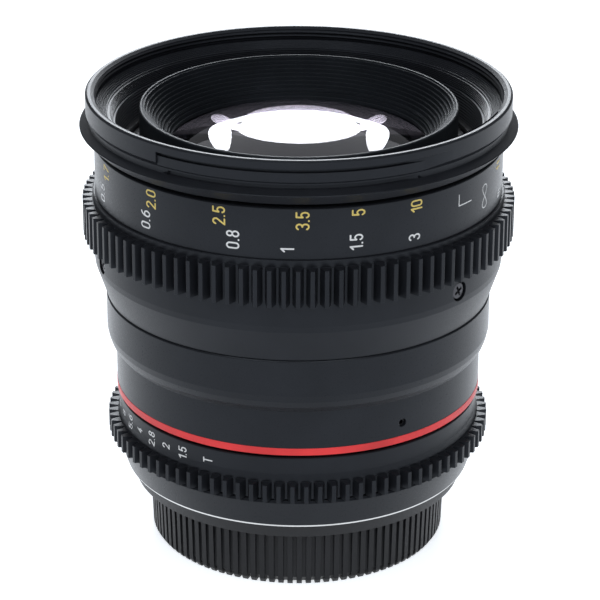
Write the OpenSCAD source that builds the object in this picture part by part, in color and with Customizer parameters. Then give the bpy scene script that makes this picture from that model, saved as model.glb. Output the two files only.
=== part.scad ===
// Cinema prime lens standing on its rear cap.
// Millimetres, +Z up along the optical axis, origin at the centre of the cap's underside.
// The focus ring stands at its closest distance, so the lens block is fully forward.

/* [Overall] */
// Height of the mount flange face above the ground, rear cap fitted
flange_h = 14.8; // [14.4:0.2:16]
// Length from the mount flange face to the front rim
lens_len = 74.6; // [74.4:0.1:76]

/* [Front rim] */
// Bore of the front filter thread
filter_d = 76.4; // [76:0.1:76.8]
// Outer diameter of the front rim
rim_d = 79.7; // [79.5:0.1:80.6]
// Length of the front filter thread
filter_len = 2.35; // [2:0.05:2.4]
// Outer diameter of the flange below the rim
collar_d = 82.1; // [81.4:0.1:83]

/* [Focus ring] */
// Teeth of the focus gear, module 0.8
focus_teeth = 100; // [99:1:104]
// Face width of the focus gear
focus_gear_w = 7.1; // [5.5:0.1:7.2]
// Turn of the focus ring from closest distance to infinity, degrees
focus_throw = 142; // [120:1:146]
// Travel of the lens block in one whole turn of the focus ring
focus_lead = 18.5; // [17.5:0.1:18.6]

/* [Aperture ring] */
// Teeth of the aperture gear, module 0.8
aperture_teeth = 90; // [90:1:94]
// Face width of the aperture gear
aperture_gear_w = 3.4; // [3:0.1:4.2]
// Turn of the aperture ring from the shown stop to full opening, degrees
turn_to_open = 49.5; // [40:0.5:49.5]
// Turn of the aperture ring from the shown stop to the smallest stop, degrees
turn_to_closed = 9.7; // [6:0.1:10]

/* [Iris] */
// Radius of the full iris opening
iris_open_r = 14.8; // [14:0.1:14.9]
// Swing of each blade from full opening to the smallest stop, degrees
blade_swing = 35; // [32:0.5:36]
// Thickness of one iris blade
blade_t = 0.2; // [0.1:0.05:0.25]

/* [Mount and cap] */
// Outer diameter of the metal mount flange
mount_d = 67; // [66.6:0.1:67.6]
// Outer diameter of the bayonet lugs
lug_d = 53.8; // [53:0.1:54.2]
// Number of grip ribs around the rear cap
cap_ribs = 101; // [80:1:106]

/* [Clearances] */
// Radial running clearance of turning rings
run_gap = 0.1; // [0.06:0.01:0.14]
// Clearance between sliding or passing faces
slide_gap = 0.3; // [0.2:0.05:0.4]
// Clearance between seated pieces
seat_gap = 0.02; // [0.01:0.01:0.04]

/* [Hidden] */
$fn = 120;
blades = 8;
tooth_module = 0.8;
tooth_depth = 1.8;
tooth_tip_w = 0.75;
tooth_root_w = 1.98;

// Lengths of the outer shells, stacked down from the front rim
rim_h = 5.4;
collar_slope = 0.75;
collar_t = 3;
skirt_h = 4.5;
pilot_h = 2.5;
scale_gap = 0.85;
scale_w = 9.72;
gear_shoulder = 1.31;
grip_w = 11.87;
grip_taper = 6.25;
ring_seam = 0.15;

// Lengths of the mount end, stacked up from the mount flange face
plate_t = 0.4;
base_h = 6.6;
base_seam = 0.3;
stop_w = 8.3;
stop_seam = 0.7;
red_w = 1.4;
neck_w = 7.4;
shoulder_h = 3.8;

// Walls and steps of the shells, from the outside in
grip_step = 0.2;
scale_step = 0.6;
gear_wall = 2;
cam_wall = 2.38;
tube_wall = 1.7;
block_wall = 2.2;
unit_gap = 0.1;
main_step = 1.7;
grip_fall = 2.25;
collar_foot = 0.35;
undercut = 0.5;
undercut_lead = 0.8;
red_depth = 1.4;
red_proud = 0.05;
stop_wall = 4;
stop_gear_a = 0.6;
spigot_wall = 1.8;
front_room = 1.3;

// Heights
zf = flange_h;
z_rim = zf + lens_len;
z_filter = z_rim - filter_len;
z_collar1 = z_rim - rim_h;
z_undercut = z_collar1 + 1.1;
z_collar_edge = z_collar1 - collar_slope;
z_collar0 = z_collar1 - collar_t;
z_skirt0 = z_collar0 - skirt_h;
z_scale1 = z_collar0 - scale_gap;
z_scale0 = z_scale1 - scale_w;
z_gear1 = z_scale0 - gear_shoulder;
z_gear0 = z_gear1 - focus_gear_w;
z_grip0 = z_gear0 - grip_w;
z_grip1 = z_grip0 + grip_taper;
z_main1 = z_grip0 - ring_seam;
z_base0 = zf + plate_t;
z_stop_gear0 = zf + base_h;
z_stop_gear1 = z_stop_gear0 + aperture_gear_w;
z_base1 = z_stop_gear0 - base_seam;
z_stop1 = z_stop_gear0 + stop_w;
z_red0 = z_stop1 + stop_seam;
z_red1 = z_red0 + red_w;
z_neck1 = z_red1 + neck_w;
z_shoulder1 = z_neck1 + shoulder_h;
z_tube1 = z_skirt0 + pilot_h;
z_tube0 = z_red1 + 1.4;
z_pilot1 = z_tube0 + 3.8;

// Radii
rim_r = rim_d / 2;
filter_r = filter_d / 2;
collar_r = collar_d / 2;
focus_tip_r = tooth_module * (focus_teeth + 2) / 2;
focus_root_r = focus_tip_r - tooth_depth;
grip_r = focus_root_r - grip_step;
scale_r = focus_root_r - scale_step;
collar_foot_r = scale_r + collar_foot;
ring_bore_r = focus_root_r - gear_wall;
skirt_r = ring_bore_r - run_gap - 0.3;
cam_r1 = ring_bore_r - seat_gap;
cam_r0 = cam_r1 - cam_wall;
tube_r1 = cam_r0 - slide_gap;
tube_r0 = tube_r1 - tube_wall;
block_r1 = tube_r0 - slide_gap;
front_bore_r = block_r1 + front_room;
aperture_tip_r = tooth_module * (aperture_teeth + 2) / 2;
aperture_root_r = aperture_tip_r - tooth_depth;
main_r2 = aperture_root_r;
main_r1 = main_r2 + main_step;
red_seat_r = main_r2 - red_depth;
spigot_r1 = aperture_root_r - stop_wall;
spigot_r0 = spigot_r1 - spigot_wall;

// Hood bayonet grooves in the rim
hood_from_a = -39.4;
hood_to_a = 43.4;
hood_lock_in_a = 3.6;
hood_h = 3.84;
hood_entry_w = 0.74;
hood_lock_w = 0.75;
hood_recess = 0.35;
hood_depth = 0.85;
hood_fade = 16;

// Ridged light traps inside the rim, stacked down from the filter thread
trap_depth = 0.2;
trap_seam = 0.35;
trap_groove = 0.45;
trap_a_h = 0.95;
trap_a_w = 1.8;
trap_b_h = 1.5;
trap_b_w = 0.6;
z_trap_a1 = z_filter - 0.15;
z_trap_a0 = z_trap_a1 - trap_a_h;
z_trap_b1 = z_trap_a0 - trap_seam;
z_trap_b0 = z_trap_b1 - trap_b_h;
z_trap_c1 = z_trap_b0 - trap_seam;
z_trap_c0 = z_tube1 + 0.1;
trap_a_r1 = filter_r - 0.5;
trap_a_r0 = trap_a_r1 - trap_a_w;
trap_b_r1 = trap_a_r0 - 0.6;
trap_b_r0 = trap_b_r1 - trap_b_w;
trap_c_r1 = trap_b_r0 - 0.4;

// Screws that join the shells: angles, heights and sizes
front_screw_a = [110, 230, 350];
z_front_screw = z_skirt0 + 1.4;
front_screw_seat_r = tube_r1 + 1.2;
front_screw_r = 0.7;
front_head_r = 1.15;
set_screw_a = [33.6, 153.6, 273.6];
z_set_screw = z_red1 + 2.6;
set_screw_r = 0.8;
set_screw_in = 0.5;

// Cam drive of the lens block
lead_per_deg = focus_lead / 360;
travel = focus_throw * lead_per_deg;
follower_r = 1.8;
follower_a = 60;
z_cam1 = z_skirt0 - 1;
z_cam0 = z_grip1 + 0.05;
z_follower = z_cam1 - 5;
groove_half = follower_r + run_gap;

// Focus ring screws
screw_z = z_gear0 - 2.92;
screw_a = 49.4;
screw_r = 0.95;
screw_head_r = 1.65;
screw_seat = 1;

// Lens block shells
block_bore_r = block_r1 - block_wall;
unit_r = block_bore_r - unit_gap;

// Glass, front to rear: edge radii, surface radii, thicknesses and air spaces
front_drop = 5.78;
cement = 0.02;
e1_r = 24.8;
e1_front = 65;
e1_h = 7.72;
e1_back = 200;
air_1 = 1.144;
e2_r = 20;
e2_front = 32;
e2_t = 8.7;
e3_t = 1.8;
e3_back = 21;
e3_clear_r = 15.5;
rear_r = 17.5;
e4_front = 22;
e4_clear_r = 14;
e4_t = 1.071;
e5_edge = 1.5;
e5_back = 42;
air_2 = 0.58;
e6_front = 45;
e6_edge = 1.36;
e6_join = 60;
e7_edge = 2.7;
e7_back = 120;
air_3 = 0.517;
e8_front = 70;
e8_t = 3.8;
air_4 = 0.4;
e9_front = 80;
e9_edge = 1.063;
e9_back = 200;
ring_wall = 1.3;
lock_wall = 1.7;

// Heights of the front glass
e1_top = z_rim - front_drop;
e1_edge0 = e1_top - e1_h;
e1_vertex = e1_edge0 + sag(e1_back, e1_r);
e2_top = e1_vertex - air_1;
e2_flat = e2_top - e2_t;
e3_vertex = e2_flat - e3_t;
e3_rim = e3_vertex - sag(e3_back, e3_clear_r);

// Cells that hold the glass
cell_gap = 0.05;
cell_floor = 1.068;
neck_wall = 1.55;
cell_step = 1.7;
foot_wall = 1.35;
rear_wall = 2.85;
neck_r = e1_r + cell_gap + neck_wall;
cell_r = neck_r + cell_step;
cell_foot_r = e2_r + cell_gap + foot_wall;
cell_bore_r = e3_clear_r + 0.5;
rear_cell_r = rear_r + cell_gap + rear_wall;
z_cell0 = e3_rim - cell_floor;
z_block1 = e1_edge0 + 2.1;
z_neck = z_block1 + 2.8;

// Iris, blades stacked one level each below the housing plate
iris_a = 180;
iris_wall = 4;
iris_wall_r0 = unit_r - iris_wall;
iris_ring_r = iris_wall_r0 - run_gap;
pivot_in = 3;
pivot_r = iris_wall_r0 - pivot_in;
pivot_pin_r = 0.5;
drive_pin_r = 0.4;
drive_arm = 4;
blade_in_r = iris_open_r + 0.1;
blade_out_r = pivot_r - 2.4;
blade_tail = 134;
blade_root = 5;
ear_r = 1.4;
arm_r = 0.9;
blade_gap = 0.1;
swing_ratio = blade_swing / (turn_to_open + turn_to_closed);
swing_shown = swing_ratio * turn_to_open;
drive_a0 = -90 - blade_swing / 2;
unit_plate_t = 1.2;
blade_room = blades * (blade_t + blade_gap) + 0.2;
iris_ring_t = 1.3;
z_plate1 = z_cell0 - 0.5;
z_plate0 = z_plate1 - unit_plate_t;
z_ring1 = z_plate0 - blade_room;
z_ring0 = z_ring1 - iris_ring_t;
z_cover1 = z_ring0 - slide_gap;
z_cover0 = z_cover1 - unit_plate_t;
z_ledge0 = z_plate1 + 0.05;
z_ledge1 = z_plate1 + 3.6;
iris_lug_r = iris_wall_r0 + 1.3;
lever_t = 1.6;
lever_r1 = iris_wall_r0 + 1;
lever_r0 = lever_r1 - lever_t;
lever_w = 3;
lever_pin_r = 0.5;
unit_screw_a = [40, 270, 330];
unit_screw_r = unit_r - 1.7;
unit_thread_r = 0.75;

// Heights of the rear glass
flange_t = 2;
z_flange1 = z_cover0;
z_flange0 = z_flange1 - flange_t;
z_block0 = z_flange0 - 2.3;
e4_top = z_flange0 - 1.3;
e4_vertex = e4_top - sag(e4_front, e4_clear_r);
e4_flat = e4_vertex - e4_t;
e5_edge0 = e4_flat - e5_edge;
e5_vertex = e5_edge0 - sag(e5_back, rear_r);
e6_top = e5_vertex - air_2;
e6_edge0 = e6_top - sag(e6_front, rear_r) - e6_edge;
e6_vertex = e6_edge0 - sag(e6_join, rear_r);
e7_edge0 = e6_edge0 - e7_edge;
e7_vertex = e7_edge0 - sag(e7_back, rear_r);
e8_top = e7_vertex - air_3;
e8_flat = e8_top - e8_t;
e9_top = e8_flat - air_4;
e9_edge0 = e9_top - sag(e9_front, rear_r) - e9_edge;
e9_vertex = e9_edge0 - sag(e9_back, rear_r);
z_rear0 = e9_vertex - 0.733;

// Stepped front ring
front_step = 2.44;
front_ring_r = block_r1 - front_step;
front_steps = 11;
front_lip = 0.55;
front_mouth_r = front_ring_r - front_lip;
front_foot_r = e1_r - 0.8;
front_stand = 2.86;
z_front1 = e1_top + front_stand;
z_lip = e1_top - sag(e1_front, front_foot_r) + 0.07;

// Aperture fork
fork_t = 2;
z_fork0 = z_stop_gear0 + 4.6;
z_fork1 = z_fork0 + fork_t;
z_lever0 = z_fork0 - 1.4;
fork_r0 = lever_r0 - 1.8;
fork_r1 = aperture_root_r - 1.4;
fork_half_a = 6.5;
tab_half_a = 11;
fork_screw_a = 8.7;
fork_screw_in = 1;
fork_screw_r = fork_r1 - fork_screw_in;
fork_thread_r = 0.6;

// Mount and rear cap
mount_r = mount_d / 2;
plate_in = 0.2;
plate_r = mount_r - plate_in;
boss_r = spigot_r1 + 1;
z_boss1 = zf + 1.6;
lug_r = lug_d / 2;
lug_h = 1.6;
throat_wall = 1.4;
throat_r1 = lug_r - lug_h;
throat_r0 = throat_r1 - throat_wall;
baffle_wall = 1.3;
baffle_r0 = throat_r0 - baffle_wall;
z_throat0 = zf - 5.4;
lug_a = 52;
z_lug1 = zf - 2.3;
z_lug0 = zf - 3.9;
mount_screw_r = spigot_r0 + 1.2;
mount_thread_r = 0.8;
mount_head_r = 1.45;
pin_hole_r = 1.2;
cap_room = 0.4;
cap_wall = 0.9;
cap_bore_r = lug_r + cap_room;
cap_wall_r = cap_bore_r + cap_wall;
cap_band_in = 1;
cap_band_taper = 0.7;
cap_band_r = mount_r - cap_band_in;
cap_top = zf - 0.2;
cap_lug_a = 44;
cap_band_z = zf - 2.8;
cap_floor = 1.8;
cap_foot_w = 3.2;
cap_foot_cut = 1.5;
rib_w = 1;
rib_h = 0.7;

// Helpers. Angles around the axis count from the front (-Y) towards +X.

module turned(profile) {
    rotate_extrude()
        polygon(profile);
}

module ring(r1, r0, z0, z1) {
    translate([0, 0, z0])
        rotate_extrude()
            translate([r0, 0])
                square([r1 - r0, z1 - z0]);
}

module at(a) {
    rotate([0, 0, a - 90])
        children();
}

module sector(r0, r1, a0, a1, z0, z1) {
    at(a0)
        translate([0, 0, z0])
            rotate_extrude(angle = a1 - a0)
                translate([r0, 0])
                    square([r1 - r0, z1 - z0]);
}

// Cylinder lying along a radius
module spoke(a, z, r, from_r, to_r) {
    at(a)
        translate([from_r, 0, z])
            rotate([0, 90, 0])
                cylinder(r = r, h = to_r - from_r);
}

module toothed(teeth, tip_r, root_r, z0, z1, turn) {
    translate([0, 0, z0])
        linear_extrude(z1 - z0) {
            circle(root_r);
            for (i = [0 : teeth - 1])
                rotate(turn + i * 360 / teeth)
                    polygon([
                        [root_r - 0.4, -tooth_root_w / 2],
                        [root_r, -tooth_root_w / 2],
                        [tip_r, -tooth_tip_w / 2],
                        [tip_r, tooth_tip_w / 2],
                        [root_r, tooth_root_w / 2],
                        [root_r - 0.4, tooth_root_w / 2]
                    ]);
        }
}

// Spherical cap solid: everything below a surface that bulges up from its vertex
module below_dome(vertex, radius) {
    translate([0, 0, vertex - radius])
        sphere(radius, $fn = 360);
}

// Everything above a surface that bulges down to its vertex
module above_bowl(vertex, radius) {
    translate([0, 0, vertex + radius])
        sphere(radius, $fn = 360);
}

function sag(radius, r) = radius - sqrt(radius * radius - r * r);

// Fixed barrel

module front_barrel() {
    color("#26272a")
        difference() {
            turned([
                [rim_r - 0.4, z_rim], [rim_r, z_rim - 0.3], [rim_r, z_undercut + undercut_lead],
                [rim_r - undercut, z_undercut], [rim_r - undercut, z_collar1],
                [collar_r - 0.15, z_collar_edge + 0.1], [collar_r, z_collar_edge - 0.05],
                [collar_foot_r, z_collar0], [skirt_r, z_collar0], [skirt_r, z_skirt0],
                [tube_r1 + seat_gap, z_skirt0], [tube_r1 + seat_gap, z_tube1 + seat_gap],
                [front_bore_r, z_tube1 + seat_gap],
                each ridges([front_bore_r, z_trap_c0], [trap_c_r1, z_trap_c1], 9),
                [trap_c_r1 + trap_groove, z_trap_c1 + 0.05], [trap_c_r1 + trap_groove, z_trap_b0 - 0.05],
                each ridges([trap_b_r0, z_trap_b0], [trap_b_r1, z_trap_b1], 5),
                [trap_b_r1 + trap_groove, z_trap_b1 + 0.05], [trap_b_r1 + trap_groove, z_trap_a0 - 0.05],
                each ridges([trap_a_r0, z_trap_a0], [trap_a_r1, z_trap_a1], 5),
                [filter_r + 0.3, z_trap_a1 + 0.02], [filter_r + 0.3, z_filter - 0.02], [filter_r, z_filter],
                [filter_r, z_rim - 0.4], [filter_r + 0.7, z_rim]
            ]);
            for (a = [0, 180])
                hood_grooves(a);
            for (i = [0 : 2])
                front_screw_hole(i);
        }
}

// Profile points of a band of turned ridges, cut into the line from p to q
function ridges(p, q, count) = [
    let (d = q - p,
         deeper = trap_depth * [d[1], -d[0]] / norm(d))
    for (k = [0 : count - 1])
        for (t = [0, 0.5])
            p + d * (k + t) / count + 2 * t * deeper,
    q
];

// One hood bayonet: shallow recess, entry groove above the rail and locking groove below it.
// All three run out to nothing at the far end.
module hood_grooves(a) {
    z_top = z_collar1 + hood_h;
    from_a = a + hood_from_a;
    to_a = a + hood_to_a;
    difference() {
        union() {
            sector(rim_r - hood_recess, rim_r + 1, from_a, to_a, z_collar1, z_top);
            sector(rim_r - hood_depth, rim_r + 1, from_a, to_a, z_top - hood_entry_w, z_top);
            sector(rim_r - hood_depth, rim_r + 1, from_a + hood_lock_in_a, to_a,
                z_collar1, z_collar1 + hood_lock_w);
        }
        at(to_a)
            translate([hood_fade, 0, z_collar1 - 1])
                cylinder(r = rim_r - hood_fade, h = hood_h + 2);
    }
}

module front_screw_hole(i) {
    spoke(front_screw_a[i], z_front_screw, front_screw_r + 0.05, tube_r0 - 1, collar_r);
    spoke(front_screw_a[i], z_front_screw, front_head_r + 0.05, front_screw_seat_r, collar_r);
}

module front_barrel_screws() {
    color("#8d8f92")
        for (i = [0 : 2])
            union() {
                spoke(front_screw_a[i], z_front_screw, front_screw_r, tube_r0 + 0.4, skirt_r - 0.5);
                spoke(front_screw_a[i], z_front_screw, front_head_r, front_screw_seat_r + seat_gap,
                    skirt_r - 0.3);
            }
}

module fixed_tube() {
    color("#3a3b3d")
        difference() {
            ring(tube_r1, tube_r0, z_tube0, z_tube1);
            for (i = [0 : 2]) {
                guide_slot(follower_a + i * 120);
                front_screw_hole(i);
                set_screw_hole(i);
            }
        }
}

// Straight slot that keeps one cam follower from turning
module guide_slot(a) {
    at(a)
        translate([tube_r0 - 1, -groove_half, z_follower - travel])
            cube([tube_r1 - tube_r0 + 2, 2 * groove_half, travel]);
    spoke(a, z_follower, groove_half, tube_r0 - 1, tube_r1 + 1);
    spoke(a, z_follower - travel, groove_half, tube_r0 - 1, tube_r1 + 1);
}

module main_barrel() {
    color("#242528")
        difference() {
            turned([
                [main_r1 - 0.25, z_main1], [main_r1, z_main1 - 0.25], [main_r1, z_shoulder1],
                [main_r1 - 0.15 * main_step, z_shoulder1 - 0.34 * shoulder_h],
                [main_r1 - 0.41 * main_step, z_shoulder1 - 0.66 * shoulder_h],
                [main_r2 + 0.21 * main_step, z_neck1 + 0.11 * shoulder_h],
                [main_r2, z_neck1], [main_r2, z_red1],
                [red_seat_r, z_red1], [red_seat_r, z_red0 - 0.2],
                [spigot_r1 + slide_gap, z_red0 - 0.2], [spigot_r1 + slide_gap, z_tube0 - seat_gap],
                [tube_r1 + seat_gap, z_tube0 - seat_gap], [tube_r1 + seat_gap, z_main1]
            ]);
            for (i = [0 : 2])
                set_screw_hole(i);
        }
}

module red_ring() {
    color("#d8322f")
        ring(main_r2 + red_proud, red_seat_r + seat_gap, z_red0, z_red1 - seat_gap);
}

module set_screw_hole(i) {
    spoke(set_screw_a[i], z_set_screw, set_screw_r + seat_gap, spigot_r1 - 0.6, main_r1 + 1);
}

module set_screws() {
    color("#17181a")
        for (i = [0 : 2])
            spoke(set_screw_a[i], z_set_screw, set_screw_r, spigot_r1 - 0.5, main_r2 - set_screw_in);
}

// Mount

module mount_base() {
    color("#232427")
        difference() {
            turned([
                [boss_r + seat_gap, z_base0 + seat_gap], [mount_r, z_base0 + seat_gap],
                [aperture_root_r + 0.3, z_base1 - 0.5], [aperture_root_r + 0.1, z_base1],
                [spigot_r1, z_base1], [spigot_r1, z_tube0 + 0.05], [tube_r0 - 0.05, z_tube0 + 0.05],
                [tube_r0 - 0.05, z_pilot1], [spigot_r0, z_pilot1], [spigot_r0, z_boss1 + seat_gap],
                [boss_r + seat_gap, z_boss1 + seat_gap]
            ]);
            sector(spigot_r0 - 1, spigot_r1 + 0.05, iris_a - turn_to_open - fork_half_a - 3,
                iris_a + turn_to_closed + fork_half_a + 3, z_fork0 - 1, z_fork1 + 1);
            for (i = [0 : 2])
                set_screw_hole(i);
            for (a = [45 : 90 : 315])
                at(a)
                    translate([mount_screw_r, 0, zf])
                        cylinder(r = mount_thread_r + seat_gap, h = base_h - 2);
        }
}

module mount_plate() {
    color("#b9bbbd")
        difference() {
            union() {
                turned([
                    [plate_r - 0.05, zf], [plate_r, zf + 0.05], [plate_r, z_base0], [boss_r, z_base0],
                    [boss_r, z_boss1], [throat_r0, z_boss1], [throat_r0, z_throat0],
                    [throat_r1, z_throat0], [throat_r1, zf]
                ]);
                for (i = [0 : 2])
                    sector(throat_r1 - 0.2, lug_r, i * 120 - lug_a / 2, i * 120 + lug_a / 2, z_lug0, z_lug1);
            }
            for (a = [45 : 90 : 315])
                at(a)
                    translate([mount_screw_r, 0, zf - 1]) {
                        cylinder(r = mount_thread_r + 0.05, h = 4);
                        cylinder(r = mount_head_r + 0.05, h = 1.8);
                    }
            at(100)
                translate([mount_screw_r - 0.4, 0, zf - 1])
                    cylinder(r = pin_hole_r, h = 2.1);
        }
}

module mount_screws() {
    color("#a4a6a9")
        for (a = [45 : 90 : 315])
            at(a)
                translate([mount_screw_r, 0, 0])
                    union() {
                        translate([0, 0, zf + 0.05])
                            cylinder(r = mount_head_r, h = 0.73);
                        translate([0, 0, zf + 0.7])
                            cylinder(r = mount_thread_r, h = base_h - 2.9);
                    }
}

module rear_baffle() {
    color("#1b1c1e")
        turned([
            [throat_r0 - seat_gap, z_throat0], [throat_r0 - seat_gap, z_boss1 + seat_gap],
            [throat_r1 - 0.1, z_boss1 + seat_gap], [throat_r1 - 0.1, z_boss1 + 0.7],
            [baffle_r0, z_boss1 + 0.7], [baffle_r0, z_throat0]
        ]);
}

// Focus ring

module focus_scale_ring() {
    color("#242528")
        turned([
            [ring_bore_r, z_scale0], [scale_r, z_scale0], [scale_r, z_scale1 - 0.2],
            [scale_r - 0.2, z_scale1], [ring_bore_r, z_scale1]
        ]);
}

module focus_gear_ring() {
    color("#202124")
        difference() {
            union() {
                turned([
                    [tube_r1 + 0.45, z_grip0], [grip_r - grip_fall, z_grip0], [grip_r - 0.15, z_grip1],
                    [grip_r, z_grip1 + 1.2], [grip_r, z_gear0], [focus_root_r - 0.1, z_gear0],
                    [focus_root_r - 0.1, z_scale0 - 0.15], [focus_root_r - 0.25, z_scale0 - seat_gap],
                    [ring_bore_r, z_scale0 - seat_gap], [ring_bore_r, z_grip1],
                    [tube_r1 + 0.45, z_grip1]
                ]);
                difference() {
                    toothed(focus_teeth, focus_tip_r, focus_root_r, z_gear0, z_gear1, 0);
                    translate([0, 0, z_gear0 - 1])
                        cylinder(r = ring_bore_r + 0.6, h = focus_gear_w + 2);
                }
            }
            for (i = [0 : 2]) {
                spoke(screw_a + i * 120, screw_z, screw_r + 0.2, ring_bore_r - 1, grip_r + 1);
                spoke(screw_a + i * 120, screw_z, screw_head_r + 0.25, grip_r - screw_seat, grip_r + 1);
            }
        }
}

module cam_ring() {
    color("#b08d4a")
        difference() {
            ring(cam_r1, cam_r0, z_cam0, z_cam1);
            for (i = [0 : 2]) {
                cam_groove(follower_a + i * 120);
                spoke(screw_a + i * 120, screw_z, screw_r + seat_gap, cam_r0 - 1, cam_r1 + 1);
            }
        }
}

// Helical groove: falls by the lead as the angle grows, just long enough for the throw
module cam_groove(a) {
    half_a = groove_half / lead_per_deg;
    end_a = 57.3 * groove_half / cam_r0;
    margin = 0.4;
    z_low = z_follower - travel - groove_half - margin;
    z_high = z_follower + groove_half + margin;
    low_a = a + (z_follower - z_low) / lead_per_deg;
    intersection() {
        translate([0, 0, z_low])
            rotate([0, 0, low_a - 90])
                linear_extrude(z_high - z_low, twist = (z_high - z_low) / lead_per_deg, slices = 72, $fn = 6)
                    polygon([
                        for (t = [-1, 1]) (cam_r0 - 5) * [cos(t * half_a), sin(t * half_a)],
                        for (t = [1, 0.5, 0, -0.5, -1]) (cam_r1 + 5) * [cos(t * half_a), sin(t * half_a)]
                    ]);
        sector(cam_r0 - 1, cam_r1 + 1, a - end_a, a + focus_throw + end_a, z_low, z_high);
    }
}

module focus_screws() {
    color("#1d1e20")
        for (i = [0 : 2])
            union() {
                spoke(screw_a + i * 120, screw_z, screw_r, cam_r0 + 0.4, grip_r - 0.5);
                spoke(screw_a + i * 120, screw_z, screw_head_r, grip_r - screw_seat + seat_gap, grip_r - 0.3);
            }
}

// Lens block

module block_barrel() {
    color("#3f4042")
        difference() {
            turned([
                [block_r1, z_block0], [block_r1, z_block1], [cell_r + 0.1, z_block1],
                [cell_r + 0.1, z_ledge1], [cell_foot_r + 0.1, z_ledge1], [cell_foot_r + 0.1, z_ledge0],
                [block_bore_r, z_ledge0], [block_bore_r, z_block0]
            ]);
            for (i = [0 : 2])
                spoke(follower_a + i * 120, z_follower, 1.02, cell_r - 1, block_r1 + 1);
        }
}

module cam_followers() {
    color("#c9a557")
        for (i = [0 : 2])
            difference() {
                spoke(follower_a + i * 120, z_follower, follower_r, block_r1 + 0.15, cam_r1 - 0.6);
                spoke(follower_a + i * 120, z_follower, 1.05, block_r1 - 1, cam_r1);
                spoke(follower_a + i * 120, z_follower, 1.45, cam_r1 - 1.6, cam_r1);
            }
}

module follower_screws() {
    color("#8d8f92")
        for (i = [0 : 2])
            union() {
                spoke(follower_a + i * 120, z_follower, 1, cell_r + 0.4, cam_r1 - 1.5);
                spoke(follower_a + i * 120, z_follower, 1.4, cam_r1 - 1.6 + seat_gap, cam_r1 - 0.7);
            }
}

module front_ring() {
    step_r = (front_mouth_r - front_foot_r) / front_steps;
    step_z = (z_front1 - 0.2 - z_lip) / front_steps;
    color("#1c1d1f")
        turned([
            [front_ring_r, z_block1 + 0.1], [front_ring_r, z_front1 - 0.2], [front_ring_r - 0.2, z_front1],
            [front_mouth_r, z_front1],
            for (i = [front_steps : -1 : 1])
                for (k = [0, 1])
                    [front_foot_r + (i - k) * step_r, z_lip + i * step_z - (1 - k) * step_z * 0.15],
            [front_foot_r, z_lip], [e1_r, z_lip], [e1_r, z_neck + 0.1],
            [neck_r + 0.05, z_neck + 0.1], [neck_r + 0.05, z_block1 + 0.1]
        ]);
}

module front_cell() {
    color("#2c2d2f")
        turned([
            [cell_bore_r, z_cell0], [cell_foot_r, z_cell0], [cell_foot_r, z_ledge1 + seat_gap],
            [cell_r, z_ledge1 + seat_gap], [cell_r, z_block1 + 0.05], [neck_r, z_block1 + 0.05],
            [neck_r, z_neck], [e1_r + cell_gap, z_neck], [e1_r + cell_gap, e1_edge0 - seat_gap],
            [e2_r + cell_gap, e1_edge0 - seat_gap], [e2_r + cell_gap, e3_rim - seat_gap],
            [cell_bore_r, e3_rim - seat_gap]
        ]);
}

module lens_element_1() {
    color("#a9c4d6", 0.5)
        difference() {
            intersection() {
                translate([0, 0, e1_edge0])
                    cylinder(r = e1_r, h = e1_top - e1_edge0 + 1);
                below_dome(e1_top, e1_front);
            }
            below_dome(e1_vertex, e1_back);
        }
}

module doublet_retainer() {
    color("#2c2d2f")
        ring(e2_r, e2_r - ring_wall, e2_top - sag(e2_front, e2_r - ring_wall) + 0.1, e1_edge0 - 2.4);
}

module lens_element_2() {
    color("#b3cbd9", 0.5)
        intersection() {
            translate([0, 0, e2_flat])
                cylinder(r = e2_r, h = e2_top - e2_flat + 1);
            below_dome(e2_top, e2_front);
        }
}

module lens_element_3() {
    color("#bccfd9", 0.5)
        difference() {
            translate([0, 0, e3_rim])
                cylinder(r = e2_r, h = e2_flat - cement - e3_rim);
            below_dome(e3_vertex, e3_back);
        }
}

module lens_element_4() {
    color("#bccfd9", 0.5)
        difference() {
            translate([0, 0, e4_flat])
                cylinder(r = rear_r, h = e4_top - e4_flat);
            above_bowl(e4_vertex, e4_front);
        }
}

module lens_element_5() {
    color("#b3cbd9", 0.5)
        intersection() {
            translate([0, 0, e5_edge0 - rear_r])
                cylinder(r = rear_r, h = e4_flat - cement - e5_edge0 + rear_r);
            above_bowl(e5_vertex, e5_back);
        }
}

module lens_element_6() {
    color("#a9c4d6", 0.5)
        intersection() {
            translate([0, 0, e6_edge0 - rear_r])
                cylinder(r = rear_r, h = 2 * rear_r);
            below_dome(e6_top, e6_front);
            above_bowl(e6_vertex, e6_join);
        }
}

module lens_element_7() {
    color("#b3cbd9", 0.5)
        difference() {
            intersection() {
                translate([0, 0, e7_edge0 - rear_r])
                    cylinder(r = rear_r, h = e6_edge0 - cement - e7_edge0 + rear_r);
                above_bowl(e7_vertex, e7_back);
            }
            translate([0, 0, -cement])
                above_bowl(e6_vertex, e6_join);
        }
}

module lens_element_8() {
    color("#a9c4d6", 0.5)
        intersection() {
            translate([0, 0, e8_flat])
                cylinder(r = rear_r, h = rear_r);
            below_dome(e8_top, e8_front);
        }
}

module lens_element_9() {
    color("#a9c4d6", 0.5)
        intersection() {
            translate([0, 0, e9_edge0 - rear_r])
                cylinder(r = rear_r, h = 2 * rear_r);
            below_dome(e9_top, e9_front);
            above_bowl(e9_vertex, e9_back);
        }
}

module rear_spacer_1() {
    color("#2c2d2f")
        ring(rear_r, rear_r - ring_wall, e6_top - sag(e6_front, rear_r - ring_wall) + seat_gap,
            e5_vertex + sag(e5_back, rear_r - ring_wall) - seat_gap);
}

module rear_spacer_2() {
    color("#2c2d2f")
        ring(rear_r, rear_r - ring_wall, e8_top - sag(e8_front, rear_r - ring_wall) + seat_gap,
            e7_vertex + sag(e7_back, rear_r - ring_wall) - seat_gap);
}

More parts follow.
